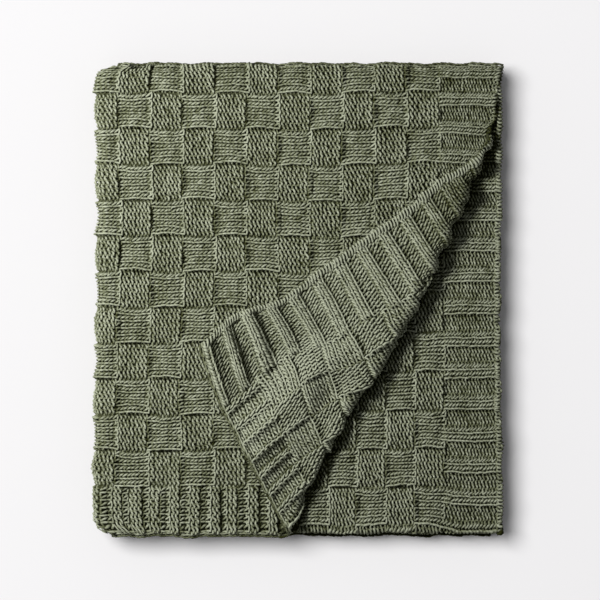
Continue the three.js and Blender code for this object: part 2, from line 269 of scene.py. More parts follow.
# The strips round the folds of the pile. A side strip has a course to spare at each end of its turn,
# and is a little wider than a ply.
SIDE_STRIP_COURSES = 9
SIDE_TURN_COURSES = 7
SIDE_STRIP_WALES = 65
SIDE_STRIP_SPARE = 20 * MM
SIDE_STRIP_EXCESS = 1 * MM
EDGE_STRIP_WALES = 2
EDGE_STRIP_START = 8 * MM

# The cloth under the stitches: how deep it lies, how thin it may get there, how fine its grid is,
# and how much of the yarn's middle tone it keeps, darkened as painted shade between the stitches
CORE_SINK = 2.5 * MM
CORE_LEAST = 0.5 * MM
CORE_TURN_BLEND = (-2 * MM, 5 * MM)
CORE_BARED = (-14 * MM, -8 * MM)
CORE_FOLD_BLEND = 2 * MM
CORE_LENGTHWISE = (5.8 * MM, 30 * MM, 30 * MM, 30 * MM)
CORE_CROSSWISE = (5.8 * MM, 8 * MM, 25 * MM)
CORE_TURN_STEPS = (8, 6)
SHADE_IN_CLOTH = 0.45

# The search for the stitches that the corner hides: a grid of cells under spots of the corner
HIDING_CELL = 2 * MM
HIDING_MARGIN = 4
HIDING_SPARE = 10
HIDING_SPOTS = (300, 330)
HIDING_FROM = 8 * MM

# The stage: the direction, distance and size of each light, and where the camera looks
FLOOR_SIZE = 12.0
WINDOW_LIGHT = ((-1.4, 0.8, 3.4), 6.0, 3.3)
THROW_LIGHT = ((-1.3, 0.6, 1.7), 1.15, 0.36)
FILL_COLOUR = (0.97, 0.98, 1.0, 1.0)
PICTURE_MIDDLE_Y = -2.6 * MM
VIEWED_LEVEL = 38 * MM

HALF_THICKNESS = CLOTH_THICKNESS / 2
BUNDLE = PLIES_ACROSS * LAYER_PITCH
FOLD_REACH = BUNDLE - LAYER_PITCH / 2 + HALF_THICKNESS
EDGE_REACH = LAYER_PITCH / 2 + HALF_THICKNESS
RIGHT = PACKET_LENGTH / 2
NEAR = -PACKET_WIDTH / 2
FAR = PACKET_WIDTH / 2
LEFT_TURN = -RIGHT + FOLD_REACH
RIGHT_TURN = RIGHT - FOLD_REACH - RIGHT_FOLD_INSET
LENGTHWISE_TURNS = (RIGHT, LEFT_TURN, RIGHT_TURN, LEFT_TURN, RIGHT)
CROSSWISE_TURNS = (NEAR, FAR - EDGE_REACH, NEAR + EDGE_REACH, FAR)


def run_lengths(turns, thickness):
    """Stations where each run and each turn of a folded strip ends."""
    marks = [0.0]
    for i in range(1, len(turns)):
        marks.append(marks[-1] + abs(turns[i] - turns[i - 1]))
        if i < len(turns) - 1:
            marks.append(marks[-1] + math.pi * thickness / 2)
    return marks


LENGTH_MARKS = run_lengths(LENGTHWISE_TURNS, BUNDLE)
WIDTH_MARKS = run_lengths(CROSSWISE_TURNS, LAYER_PITCH)
FLAT_LENGTH = LENGTH_MARKS[-1]
FLAT_WIDTH = WIDTH_MARKS[-1]
# The outermost ply takes a longer way round a fold than the middle of the bundle
OUTER_WAY = (BUNDLE - LAYER_PITCH / 2) / (BUNDLE / 2)


def ease(t):
    """From 0 to 1 with a soft start and a soft end."""
    k = np.clip(t, 0.0, 1.0)
    return k * k * (3.0 - 2.0 * k)


def grown(t, stretch):
    """How far something has grown at t, from 0 to 1, over its stretch."""
    start, full = stretch
    return ease((t - start) / (full - start))


def bell(t, width):
    return np.exp(-(t / width) ** 2)


# Folding

def fold(station, offset, thickness, turns):
    """Folds a strip back and forth. offset is the height in the strip, from its lower side."""
    turn_length = math.pi * thickness / 2
    runs = len(turns) - 1
    rest = np.array(station, dtype=float)
    across = np.zeros_like(rest)
    height = np.zeros_like(rest)
    done = np.zeros(rest.shape, dtype=bool)
    for i in range(runs):
        direction = math.copysign(1.0, turns[i + 1] - turns[i])
        run = abs(turns[i + 1] - turns[i])
        base = (runs - 1 - i) * thickness
        over = offset if i % 2 == 0 else thickness - offset
        here = ~done & ((rest <= run) | (i == runs - 1))
        across = np.where(here, turns[i] + direction * rest, across)
        height = np.where(here, base + over, height)
        done |= here
        rest = rest - run
        here = ~done & (rest < turn_length)
        angle = rest / (thickness / 2)
        across = np.where(here, turns[i + 1] + direction * over * np.sin(angle), across)
        height = np.where(here, base + over * np.cos(angle), height)
        done |= here
        rest = rest - turn_length
    return across, height


CREASE_LENGTH = math.hypot(CREASE_END[0] - CREASE_START[0], CREASE_END[1] - CREASE_START[1])
CREASE_X = (CREASE_END[0] - CREASE_START[0]) / CREASE_LENGTH
CREASE_Y = (CREASE_END[1] - CREASE_START[1]) / CREASE_LENGTH


def to_crease(x, y):
    """How far a spot lies along the crease and past it."""
    dx = x - CREASE_START[0]
    dy = y - CREASE_START[1]
    return dx * CREASE_X + dy * CREASE_Y, dx * CREASE_Y - dy * CREASE_X


def from_crease(along, past):
    x = CREASE_START[0] + along * CREASE_X + past * CREASE_Y
    y = CREASE_START[1] + along * CREASE_Y - past * CREASE_X
    return x, y


def crease_at(along):
    """Lift, radius, reach and slide of the roll at a place along the crease."""
    rows = np.array(CREASE_SHAPE)
    stops = rows[:, 0] * MM
    i = np.clip(np.searchsorted(stops, along) - 1, 0, len(rows) - 2)
    t = ease((along - stops[i]) / (stops[i + 1] - stops[i]))
    lift, radius, reach, slide = (rows[i, k] + (rows[i + 1, k] - rows[i, k]) * t for k in (1, 2, 3, 4))
    return lift * MM, radius * MM, reach, slide


def roll_section(arc, radius):
    """Across the roll: up and over in an arc, down the other way, then flat on the ply below."""
    roll_arc = radius * (math.pi + REST_ANGLE)
    settle_radius = (radius * (1 + math.cos(REST_ANGLE)) - REST_GAP) / (1 - math.cos(REST_ANGLE))
    turn = np.minimum(arc, roll_arc) / radius
    settled = np.clip((arc - roll_arc) / settle_radius, 0.0, REST_ANGLE)
    flat = np.maximum(0.0, arc - roll_arc - settle_radius * REST_ANGLE)
    slope = REST_ANGLE - settled
    down = settle_radius * (np.cos(slope) - math.cos(REST_ANGLE))
    back = settle_radius * (np.sin(slope) - math.sin(REST_ANGLE)) - flat
    past = radius * np.sin(turn) + back
    height = radius * (1 - np.cos(turn)) - down
    angle = np.where(arc < roll_arc, turn, math.pi + slope)
    return past, height, angle


def turn_back(x, y, level, offset):
    """Turns a spot of the top ply back over the crease. level is the ply's middle."""
    along, past_flat = to_crease(x, y)
    lift, radius, reach, slide = crease_at(along)
    arc = past_flat - lift
    past, height, angle = roll_section(np.maximum(arc, 0.0), radius)
    back = np.maximum(0.0, -past)
    past = np.where(past < 0, past * reach, past)
    turned_x, turned_y = from_crease(along + slide * back, lift + past - offset * np.sin(angle))
    turned_z = level + height + offset * np.cos(angle)
    flat = arc <= 0
    return (
        np.where(flat, x, turned_x),
        np.where(flat, y, turned_y),
        np.where(flat, level + offset, turned_z),
    )


def gather(s, v):
    """How strongly the knitting is pushed together near the turned corner's tip."""
    start, end = GATHER_ACROSS
    across = np.sin(math.pi * np.clip((v - start) / (end - start), 0.0, 1.0)) ** 2
    return across * grown(s, GATHER_ALONG)


def end_draw(s, y):
    """How far the free end is drawn in, most where the corner starts to turn back."""
    bay = END_BAY * grown(y, (FAR, FAR - BAY_FADE)) * grown(y, BAY_START)
    return (END_DRAW_IN + bay) * (1 - ease(s / END_DRAW_REACH))


def corner_hump(s, v):
    """Height of the soft ridge across the turned corner behind its ribs, and of the dip in it."""
    dip_s, dip_v = HUMP_DIP
    steep = bell(v - dip_v, STEEP_SIZE)
    across = (s - HUMP_STATION - HUMP_SKEW * v) / HUMP_WIDTH
    across = np.where(across > 0, across / (HUMP_FAR_SIDE + (1 - HUMP_FAR_SIDE) * steep), across)
    ends = grown(v, HUMP_NEAR_END) * grown(v, HUMP_FAR_END)
    dip = bell(s - dip_s, DIP_SIZE[0]) * bell(v - dip_v, DIP_SIZE[1])
    return HUMP_HEIGHT * bell(across, 1.0) * ends - DIP_DEPTH * dip


def tip_buckles(s, v):
    """Height of the soft buckles at the turned corner's tip."""
    height = TIP_RISE * grown(s, TIP_ALONG) * grown(v, TIP_NEAR_END) * grown(v, TIP_FAR_END)
    for start, slope in TIP_GROOVES:
        away = v - start * MM - slope * (s - GROOVE_PIVOT)
        height = height * (1 - bell(away, GROOVE_WIDTH))
    return height


def slow_wave(along, shape):
    """A long wave of an edge, from its height, its length and where it starts."""
    height, length, start = shape
    return height * np.sin(2 * math.pi * (along - start) / length)


def sway(along, lengths):
    """A few short waves of an edge, added up."""
    waves = enumerate(lengths)
    return sum(np.sin(2 * math.pi * along / length + EDGE_PHASE + k) for k, length in waves) / 2


def settled(x, y):
    """Where a spot of the folded packet comes to lie, with its round corners and wavy edges."""
    corner = np.clip((np.abs(y) - FAR + CORNER_RADIUS) / CORNER_RADIUS, 0.0, 1.0)
    pull = CORNER_RADIUS * (1 - np.sqrt(1 - CORNER_ARC * corner ** 2))
    pull = pull * grown(x, (LEFT_TURN + CORNER_REACH, LEFT_TURN))
    left = (slow_wave(y, LEFT_WANDER) - LEFT_SPREAD) * grown(x, (0.0, -RIGHT))
    right = slow_wave(y, RIGHT_WANDER) * grown(x, (0.0, RIGHT)) - RIGHT_SHRINK * grown(x, RIGHT_BAND)
    side_waves = EDGE_WANDER * sway(y, EDGE_WAVES) * (np.abs(x) / RIGHT) ** SIDE_POWER
    end_waves = EDGE_WANDER * sway(x, EDGE_WAVES) * (np.abs(y) / FAR) ** END_POWER
    far = -FAR_SHRINK * grown(y, (FAR - EDGE_BAND, FAR))
    near = -NEAR_SPREAD * grown(y, (NEAR + EDGE_BAND, NEAR))
    return x + pull + left + right + side_waves, y + far + near + end_waves


def is_on_top(s, v):
    return (s < LENGTH_MARKS[1]) & (v < WIDTH_MARKS[1])


def is_under(s, v):
    return (s < LENGTH_MARKS[1]) & (v > WIDTH_MARKS[2]) & (v < WIDTH_MARKS[3])


def place(s, v, offset):
    """Where the folds take a spot of the flat cloth. offset is counted from the ply's middle."""
    s, v, offset = np.broadcast_arrays(s, v, offset)
    y, ply_height = fold(v, LAYER_PITCH / 2 + offset, LAYER_PITCH, CROSSWISE_TURNS)
    x, z = fold(s, ply_height, BUNDLE, LENGTHWISE_TURNS)
    gathered = y - CORNER_GATHER * gather(s, v)
    turned = turn_back(x - end_draw(s, y), gathered, z - offset, offset)
    turned = (turned[0], turned[1], turned[2] + corner_hump(s, v) + tip_buckles(s, v))
    x, y, z = (np.where(is_on_top(s, v), new, old) for new, old in zip(turned, (x, y, z)))
    return np.stack((*settled(x, y), np.maximum(z - GROUND_GAP, 0.0)), axis=-1)


def past_crease(s, v):
    """How far a spot lies past the crease, seen from above."""
    y = fold(v, LAYER_PITCH / 2, LAYER_PITCH, CROSSWISE_TURNS)[0]
    along, past = to_crease(RIGHT - s - end_draw(s, y), y)
    return past - crease_at(along)[0]


def back_from(v):
    """How far past the crease the back of the cloth comes up: later where the corner only rises."""
    low = grown(past_crease(np.zeros_like(v), v), LOW_CORNER)
    return BACK_FROM + (LOW_BACK_FROM - BACK_FROM) * low


def turned_share(past, v):
    """From 0 to 1 as the back of the turned corner comes up."""
    return grown(past - back_from(v), TURN_BLEND)


def bared_share(past, v):
    """From 0 to 1 as the ply below comes out from under the corner, and back to 0 at its near fold."""
    return grown(past, BARED) * grown(v, (WIDTH_MARKS[3], WIDTH_MARKS[3] - NEAR_FADE))


def back_shows(s, v):
    """1 on the turned corner and on the ply below it, where the back of the cloth is uppermost."""
    corner = np.where(is_on_top(s, v), turned_share(past_crease(s, v), v), 0.0)
    return np.where(is_under(s, v), 1.0, corner)


# Relief of the checks, ribs and welts

def alternating(place_in_pattern, pitch):
    """+1 and -1 by turns, with a short slope between them."""
    cell = np.floor(place_in_pattern)
    within = place_in_pattern - cell
    to_edge = np.minimum(within, 1 - within) * pitch
    return np.where(cell % 2 == 0, 1.0, -1.0) * np.clip(to_edge / (STEP_WIDTH / 2), 0.0, 1.0)


def check_relief(column, row, column_pitch, row_pitch):
    """A knit block arches along its wales and dips along its courses, a purl block the other way."""
    across_check = 2 * (column - np.floor(column)) - 1
    along_check = 2 * (row - np.floor(row)) - 1
    knit = -alternating(column, column_pitch) * alternating(row, row_pitch)
    return CHECK_RELIEF * knit * (along_check ** 2 - across_check ** 2)


def rib_wave(v, ribs):
    """+1 on the knit ribs and -1 on the purl ribs of a ribbed border."""
    middle, before, after = ribs
    return -np.cos(2 * math.pi * (v - middle) / np.where(v < middle, before, after))


def top_ribs(v):
    """The ribs of the top ply, which change over at the broad rib."""
    return rib_wave(v, TOP_RIBS) * np.where(v < BROAD_RIB, 1.0, -1.0)


def welt_wave(u):
    """+1 on the broad purl welts of a side border and -1 in the narrow knit valleys."""
    return 1 - 2 * ((1 - np.cos(2 * math.pi * (u - WELT_SHIFT) / WELT_PERIOD)) / 2) ** 2


def in_border(u, border):
    """1 on a ribbed border and 0 past it, with a short slope between."""
    return grown(u, (border + STEP_WIDTH, border - STEP_WIDTH))


def under_row(v):
    return UNDER_ROW_INDEX + (v - UNDER_FIRST_ROW) / UNDER_ROW


def top_relief(u, v):
    slow = TOP_FULLNESS * np.sin(2 * math.pi * u / TOP_WAVE) * np.cos(2 * math.pi * v / TOP_WAVE)
    deeper = 1 + TIP_DEEPENING * grown(v, TIP_RIBS) * grown(u, TIP_COURSES)
    ribs = RIB_RELIEF * deeper * top_ribs(v)
    welts = WELT_RELIEF * welt_wave(u)
    row = np.minimum((v - SIDE_BORDER) / TOP_ROW, TOP_ROWS - 0.5)
    checks = check_relief((u - TOP_BORDER) / TOP_COLUMN, row, TOP_COLUMN, TOP_ROW)
    inner = np.where(v < SIDE_BORDER, welts, checks)
    return slow + PUFF + inner + (ribs - inner) * in_border(u, TOP_BORDER)


def under_relief(u, v):
    ribs = -RIB_RELIEF * rib_wave(v, UNDER_RIBS)
    checks = -check_relief((u - UNDER_BORDER) / UNDER_COLUMN, under_row(v), UNDER_COLUMN, UNDER_ROW)
    return checks + (ribs - checks) * in_border(u, UNDER_BORDER)


def top_fade(s, v):
    """Lets the relief of the top ply fade out at the end of its folds."""
    return grown(np.minimum(LENGTH_MARKS[2] - s, WIDTH_MARKS[2] - v), (0.0, RELIEF_FADE))


def purl_swell(column, row):
    """How far the swelling purl blocks push a spot across the cloth."""
    inside = ease(2 * column) * ease(2 * row)
    return -PURL_SWELL * np.sin(math.pi * column) * np.cos(math.pi * row) * inside


def top_swell(u, v):
    return purl_swell((u - TOP_BORDER) / TOP_COLUMN, (v - SIDE_BORDER) / TOP_ROW)


def under_swell(u, v):
    return -purl_swell((u - UNDER_BORDER) / UNDER_COLUMN, under_row(v))


# Where each course and wale lies, and which stitches are knit. Wale numbers may be fractions.

def course_places(count, border, border_courses, column):
    """Middle and pitch of each course: those of the ribbed border, then those of the checks."""
    i = np.arange(count)
    border_pitch = border / border_courses
    pitch = column / CHECK_COURSES
    in_ribs = i < border_courses
    body = border + (i - border_courses + 0.5) * pitch
    return np.where(in_ribs, (i + 0.5) * border_pitch, body), np.where(in_ribs, border_pitch, pitch)


def top_wales(wale, u):
    """Where a wale of the top ply lies, which is the same at every course."""
    beyond = SIDE_BORDER + (wale - SIDE_WALES) * TOP_ROW / CHECK_WALES
    return np.where(wale < SIDE_WALES, wale * SIDE_BORDER / SIDE_WALES, beyond)


def top_signs(u, wale):
    """+1 where the front shows a knit stitch, -1 where it shows a purl stitch."""
    rib = np.isin((wale + RIB_WALES // 2 * (wale >= BROAD_RIB_WALE)) % RIB_WALES, KNIT_RIB_WALES)
    welt = welt_wave(u) < WELT_KNIT_BELOW
    column = np.floor((u - TOP_BORDER) / TOP_COLUMN)
    row = np.minimum((wale - SIDE_WALES) // CHECK_WALES, TOP_ROWS - 1)
    check = (column + row) % 2 == 1
    knit = np.where(u < TOP_BORDER, rib, np.where(wale < SIDE_WALES, welt, check))
    return np.where(knit, 1.0, -1.0)


def under_wales(wale, u):
    """Where a wale of the second ply lies: in step with the ribs, then with the checks."""
    middle, before, after = UNDER_RIBS
    from_middle = wale - UNDER_RIB_WALE
    ribs = middle + from_middle * np.where(from_middle < 0, before, after) / RIB_WALES
    checks = UNDER_FIRST_ROW + wale * UNDER_ROW / CHECK_WALES
    return ribs + (checks - ribs) * grown(u, (UNDER_BORDER - UNDER_BLEND, UNDER_BORDER + UNDER_BLEND))


def under_signs(u, wale):
    rib = np.isin((wale - UNDER_RIB_WALE) % RIB_WALES, KNIT_RIB_WALES)
    column = np.floor((u - UNDER_BORDER) / UNDER_COLUMN)
    row = UNDER_ROW_INDEX + wale // CHECK_WALES
    check = (column + row) % 2 == 1
    return np.where(np.where(u < UNDER_BORDER, rib, check), 1.0, -1.0)


def outer_to_station(u, mark):
    """Station of a distance along the outermost ply, which goes round a fold from mark on."""
    return u - np.maximum(0.0, u - mark) * (1 - 1 / OUTER_WAY)


# Yarn. A stitch is one turn of its loop, from one sinker by the head to the next. It has more stops
# near the sinkers and the head, where the yarn bends.

LOOP_STOPS = np.array((0, 30, 90, 150, 180, 210, 270, 330)) / 360
STOPS = len(LOOP_STOPS)
MIDDLE_STOPS = slice(STOPS // 2, None, STOPS)


def loop_turns(wales):
    """Turns of the loops along a course, and the stitch that each stop belongs to."""
    t = np.arange(wales * STOPS + 1)
    return t // STOPS + LOOP_STOPS[t % STOPS], np.minimum(t // STOPS, wales - 1)


class YarnMesh:
    """Gathers tubes of yarn into one mesh."""

    def __init__(self):
        self.vertices = []
        self.faces = []
        self.uvs = []
        self.tones = []
        self.count = 0

    def add(self, rings, kept, distance, tone):
        """rings is rows of rings of points. kept says which stretches between two rings there are."""
        length, sides = rings.shape[1:3]
        row, k = np.nonzero(kept)
        first = (row * length + k) * sides
        quads = []
        quad_uvs = []
        for m in range(sides):
            n = (m + 1) % sides
            quads.append(np.stack((first + m, first + n, first + sides + n, first + sides + m), axis=-1))
            start = distance[row, k]
            end = distance[row, k + 1]
            low = np.full_like(start, m / sides)
            high = np.full_like(start, (m + 1) / sides)
            quad_uvs.append(np.stack((start, low, start, high, end, high, end, low), axis=-1))
        quads = np.concatenate(quads)
        quad_uvs = np.concatenate(quad_uvs).reshape(-1, 2)
        # A cap closes each end of the stretches that follow one another
        caps = []
        before = np.zeros_like(kept)
        before[:, 1:] = kept[:, :-1]
        after = np.zeros_like(kept)
        after[:, :-1] = kept[:, 1:]
        for ends, ring_shift, order in ((kept & ~before, 0, -1), (kept & ~after, 1, 1)):
            row, k = np.nonzero(ends)
            first = (row * length + k + ring_shift) * sides
            caps.append(first[:, None] + np.arange(sides)[None, ::order])
        caps = np.concatenate(caps)
        corners = np.concatenate((quads.ravel(), caps.ravel()))
        used, corners = np.unique(corners, return_inverse=True)
        corners = corners + self.count
        self.faces += corners[: quads.size].reshape(-1, 4).tolist()
        self.faces += corners[quads.size:].reshape(-1, sides).tolist()
        self.uvs += [quad_uvs, np.zeros((caps.size, 2))]
        self.vertices.append(rings.reshape(-1, 3)[used])
        self.tones.append(tone.reshape(-1)[used])
        self.count += len(used)

    def make(self, name, material):
        """The piece, with a UV map along and around its yarn and a tone at each point, with painted
        shade and light.
        """
        mesh = bpy.data.meshes.new(name)
        mesh.from_pydata(np.concatenate(self.vertices).tolist(), [], self.faces)
        layer = mesh.uv_layers.new(name="along_yarn")
        layer.data.foreach_set("uv", np.concatenate(self.uvs).ravel())
        tone = mesh.attributes.new("tone", "FLOAT", "POINT")
        tone.data.foreach_set("value", np.concatenate(self.tones))
        mesh.shade_smooth()
        mesh.materials.append(material)
        piece = bpy.data.objects.new(name, mesh)
        bpy.context.scene.collection.objects.link(piece)
        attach(piece, "root")


def tube_rings(u, v, w, radius, sides):
    """Rings round paths in the flat cloth's own space, one path to a row."""
    path = np.stack((u, v, w), axis=-1)
    tangent = np.gradient(path, axis=1)
    tangent /= np.linalg.norm(tangent, axis=-1, keepdims=True)
    aside = np.cross(tangent, (0.0, 0.0, 1.0))
    aside /= np.linalg.norm(aside, axis=-1, keepdims=True) + 1e-12
    upward = np.cross(aside, tangent)
    angles = 2 * math.pi * np.arange(sides) / sides
    around = (
        np.cos(angles)[:, None] * upward[:, :, None, :]
        + np.sin(angles)[:, None] * aside[:, :, None, :]
    )
    steps = np.linalg.norm(np.diff(path, axis=1), axis=-1)
    distance = np.concatenate((np.zeros((len(steps), 1)), np.cumsum(steps, axis=1)), axis=1)
    return path[:, :, None, :] + radius * around, distance


def shaded(tone, rings, level, facing, yarn):
    """Adds painted light and shade to the tone: how far a point stands out of its stitch, and its stitch
    out of the cloth.
    """
    out = (rings[..., 2] - level[..., None]) * facing / (yarn.depth + yarn.radius)
    return tone[..., None] + yarn.shading * out + yarn.valley_shading * level[..., None] * facing / MM


def knit_courses(yarn, centre, pitch, wale_at, signs, facing, first_wale, noise):
    """Paths of the yarn, one course to a row. The heads of the loops reach towards the free end.

    signs is +1 for a knit stitch. facing is +1 where the front of a stitch is seen, -1 for its back.
    """
    turns, stitch = loop_turns(signs.shape[1])
    turn = 2 * math.pi * turns
    noise_along, noise_across, noise_through, noise_tone = noise
    padded = np.pad(signs, ((1, 0), (1, 1)), mode="edge")
    own_sign = padded[1:, stitch + 1]
    sinker_before = (padded[1:, stitch] + padded[1:, stitch + 1]) / 2
    sinker_after = (padded[1:, stitch + 1] + padded[1:, stitch + 2]) / 2
    within = turns - stitch
    sinker = np.where(within < 0.5, sinker_before, sinker_after)
    own_sign = np.where((within == 0) | (within == 1), sinker, own_sign)
    head = padded[:-1, stitch + 1]
    cos = np.cos(turn)
    sin = np.sin(turn)
    far_side = np.where(cos > 1e-6, sinker, head)
    seen_knit = (1 + own_sign * (facing * np.ones_like(signs))[:, stitch]) / 2
    bulge = yarn.purl_bulge + (yarn.knit_bulge - yarn.purl_bulge) * seen_knit
    legs = -seen_knit * own_sign * yarn.lean * cos
    slant = own_sign * yarn.slant * (1 - seen_knit) * np.sin(2 * turn)
    u = centre[:, None] + pitch[:, None] * (yarn.loop_height * cos - slant)
    wale = first_wale + turns + bulge * np.sin(2 * turn) + legs
    slanted_leg = seen_knit * (sin * own_sign < 0)
    leg = np.abs(sin) ** (1.0 + slanted_leg)
    depth = yarn.depth * (own_sign * leg - far_side * (1 - leg))
    u = u + noise_along
    v = wale_at(wale + noise_across, u)
    return u, v, depth + noise_through, noise_tone + yarn.purl_tone * (1 - seen_knit)


def yarn_noise(yarn, courses, wales, seed):
    """Small unevenness of each stitch along, across and through the cloth, and a tone for each."""
    rng = np.random.default_rng(seed)
    turns, stitch = loop_turns(wales)
    halves = np.arange(2 * wales + 1) / 2

    def drift(amount):
        values = rng.normal(0.0, amount, (courses, len(halves)))
        return np.stack([np.interp(turns, halves, row) for row in values])

    tone = rng.normal(0.0, 1.0, (courses, wales))[:, stitch]
    along = drift(yarn.unevenness)
    across = drift(yarn.unevenness / WALE_WIDTH)
    return along, across, drift(yarn.unevenness), tone


def hidden_by_corner(points):
    """True where a point of the top ply lies well under the turned corner."""
    s, v = np.broadcast_arrays(
        np.linspace(0, LENGTH_MARKS[1], HIDING_SPOTS[0])[:, None],
        np.linspace(0, WIDTH_MARKS[1], HIDING_SPOTS[1])[None, :],
    )
    turned = past_crease(s, v) > HIDING_FROM
    spots = place(s[turned], v[turned], 0.0)
    spare = HIDING_SPARE * HIDING_CELL
    size = [int(side / HIDING_CELL) + 2 * HIDING_SPARE for side in (PACKET_LENGTH, PACKET_WIDTH)]
    origin = np.array((-PACKET_LENGTH / 2 - spare, -PACKET_WIDTH / 2 - spare))

    def cells(xy):
        index = ((xy - origin) / HIDING_CELL).astype(int)
        return np.clip(index[:, 0], 0, size[0] - 1), np.clip(index[:, 1], 0, size[1] - 1)

    hidden = np.zeros(size, dtype=bool)
    hidden[cells(spots[:, :2])] = True
    for _ in range(HIDING_MARGIN):
        inner = hidden.copy()
        inner[1:, :] &= hidden[:-1, :]
        inner[:-1, :] &= hidden[1:, :]
        inner[:, 1:] &= hidden[:, :-1]
        inner[:, :-1] &= hidden[:, 1:]
        hidden = inner
    return hidden[cells(points[:, :2])]


def wander(u, v, seed):
    """A slow wander of the stitches over the cloth, a few waves added up."""
    rng = np.random.default_rng(seed)
    total = 0.0
    for length in WANDER_LENGTHS:
        heading = rng.uniform(0, 2 * math.pi)
        phase = rng.uniform(0, 2 * math.pi)
        along = u * math.cos(heading) + v * math.sin(heading)
        total = total + math.sqrt(length) * np.sin(2 * math.pi * along / length + phase)
    return total


def corner_painted_light(yarn, s, v):
    """How much lighter the turned corner is painted: painted light that fades towards the crease's far
    end, and a painted highlight on the side of its ridge that faces the light.
    """
    painted_light_share = 1 - CORNER_PAINTED_LIGHT_DROP * grown(v, CORNER_PAINTED_LIGHT_FADE)
    ridge = bell(s - HUMP_STATION - HUMP_SKEW * v + RIDGE_SHIFT, RIDGE_WIDTH)
    return yarn.corner_painted_light * painted_light_share + yarn.ridge_painted_highlight * ridge * grown(v, RIDGE_END)


def top_knitting(yarn):
    """Yarn of the top ply with its left fold: points, front stitches, turned ones, distances, tones with
    painted shade and light.
    """
    outer_end = LENGTH_MARKS[1] + (LENGTH_MARKS[2] - LENGTH_MARKS[1]) * OUTER_WAY
    courses = TOP_BORDER_COURSES + int((outer_end - TOP_BORDER) / (TOP_COLUMN / CHECK_COURSES)) + 1
    centre, pitches = course_places(courses, TOP_BORDER, TOP_BORDER_COURSES, TOP_COLUMN)
    number = np.arange(TOP_WALES)[None, :]
    signs = top_signs(centre[:, None], number)
    at_station = outer_to_station(centre, LENGTH_MARKS[1])[:, None]
    stitch_v = top_wales(number + 0.5, centre[:, None])
    past_back = past_crease(at_station, stitch_v) - back_from(stitch_v)
    seen = np.where(past_back > BACK_STITCHES_FROM, -1.0, 1.0)
    noise = yarn_noise(yarn, courses, TOP_WALES, seed=11)
    u, v, w, tone = knit_courses(yarn, centre, pitches, top_wales, signs, seen, 0, noise)
    u = u + TOP_WANDER * wander(u, v, seed=3)
    v = v + TOP_WANDER * wander(u, v, seed=4) * ease(v / SELVEDGE_CALM)
    relief = top_relief(u, v)
    v = v + top_swell(u, v)
    s = outer_to_station(u, LENGTH_MARKS[1])
    past = past_crease(s, v)
    turned = turned_share(past, v)
    facing = 1 - 2 * turned
    level = relief * top_fade(s, v) + yarn.rise * facing
    rings, distance = tube_rings(u, v, w + level, yarn.radius, yarn.sides)
    # Painted light on the turned corner, then painted shade and light by depth
    tone = shaded(tone + corner_painted_light(yarn, s, v) * turned, rings, level, facing[..., None], yarn)
    points = place(outer_to_station(rings[..., 0], LENGTH_MARKS[1]), rings[..., 1], rings[..., 2])
    middles = place(s[:, MIDDLE_STOPS], v[:, MIDDLE_STOPS], 0.0)
    is_turned = past[:, MIDDLE_STOPS] > back_from(v[:, MIDDLE_STOPS])
    hidden = hidden_by_corner(middles.reshape(-1, 3)).reshape(is_turned.shape)
    return points, ~hidden & ~is_turned, is_turned, distance, tone


def under_knitting(yarn):
    """Yarn of the ply below, where the corner bares it, and of its near fold."""
    centre, pitches = course_places(UNDER_COURSES, UNDER_BORDER, UNDER_BORDER_COURSES, UNDER_COLUMN)
    signs = under_signs(centre[:, None], UNDER_FIRST_WALE + np.arange(UNDER_WALES)[None, :])
    noise = yarn_noise(yarn, UNDER_COURSES, UNDER_WALES, seed=23)
    first = UNDER_FIRST_WALE
    u, v, w, tone = knit_courses(yarn, centre, pitches, under_wales, signs, -1.0, first, noise)
    u = u + UNDER_WANDER * wander(u, v, seed=5)
    v = v + UNDER_WANDER * wander(u, v, seed=6)
    relief = -under_relief(u, v)
    v = v + under_swell(u, v)
    past = past_crease(u, v)
    level = relief * bared_share(past, v) - yarn.rise
    rings, distance = tube_rings(u, v, w + level, yarn.radius, yarn.sides)
    # Painted light over the bared ply, and painted shadow beside the roll
    tone = tone + yarn.under_painted_light - yarn.roll_shading * grown(past, ROLL_SHADE)
    points = place(rings[..., 0], rings[..., 1], rings[..., 2])
    after_far, before_near = FOLD_LAP
    stitch_v = v[:, MIDDLE_STOPS]
    kept = (past[:, MIDDLE_STOPS] > BARED_STITCHES_FROM) & (stitch_v > WIDTH_MARKS[2] + after_far)
    kept &= u[:, MIDDLE_STOPS] < LENGTH_MARKS[1]
    kept |= stitch_v > WIDTH_MARKS[3] - before_near
    return points, kept, distance, shaded(tone, rings, level, -1, yarn)


# Cloth under the stitches

def grid_lines(marks, spacings, steps):
    """Grid lines over the runs and turns of a fold, with a spacing for each run."""
    lines = [0.0]
    for i in range(len(marks) - 1):
        length = marks[i + 1] - marks[i]
        count = steps if i % 2 else max(1, round(length / spacings[i // 2]))
        lines += [marks[i] + length * (k + 1) / count for k in range(count)]
    return np.array(lines)


def round_fold(station, marks, first):
    """1 round the fold that starts at a mark and ends at the next one, and 0 away from it."""
    start, end = marks[first], marks[first + 1]
    before = grown(station, (start - CORE_FOLD_BLEND, start))
    return before * grown(station, (end + CORE_FOLD_BLEND, end))


def core_on_under(s, v):
    return (s <= LENGTH_MARKS[1]) & (v > WIDTH_MARKS[2]) & (v <= WIDTH_MARKS[3])


